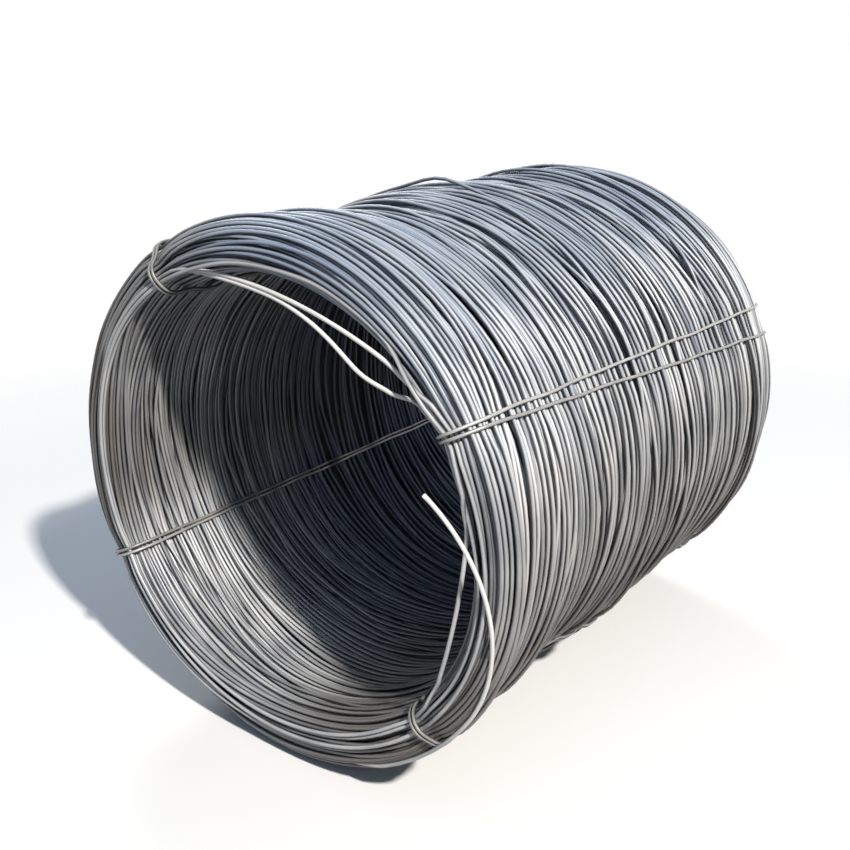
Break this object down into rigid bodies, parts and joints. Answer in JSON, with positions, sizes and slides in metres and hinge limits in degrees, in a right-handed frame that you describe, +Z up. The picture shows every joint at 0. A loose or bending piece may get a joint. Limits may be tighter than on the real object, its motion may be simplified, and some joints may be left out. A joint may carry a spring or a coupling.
{
  "type": "wire rod coil",
  "caption": "Heavy coil of hot-rolled steel wire rod lying on its side, bound by doubled wire ties, with loose turns and a free rod end at the open eye.",
  "frame": {"origin": "middle of the eye, on its axis, halfway between the two lips", "axes": "+Y along the eye from the front lip with the loose turns to the far lip, +Z up with the coil lying on its side as in the picture, +X to the right seen from the front"},
  "size_m": [1.1, 1.3214, 1.1],
  "materials": {
    "rod": "hot-rolled mill scale, worn bright on the crests",
    "tie": "plain annealed tie wire"
  },
  "bodies": {
    "root": {"coil": "rod", "tie_right": "tie", "tie_top": "tie", "tie_left": "tie", "tie_bottom": "tie"}
  },
  "joints": []
}
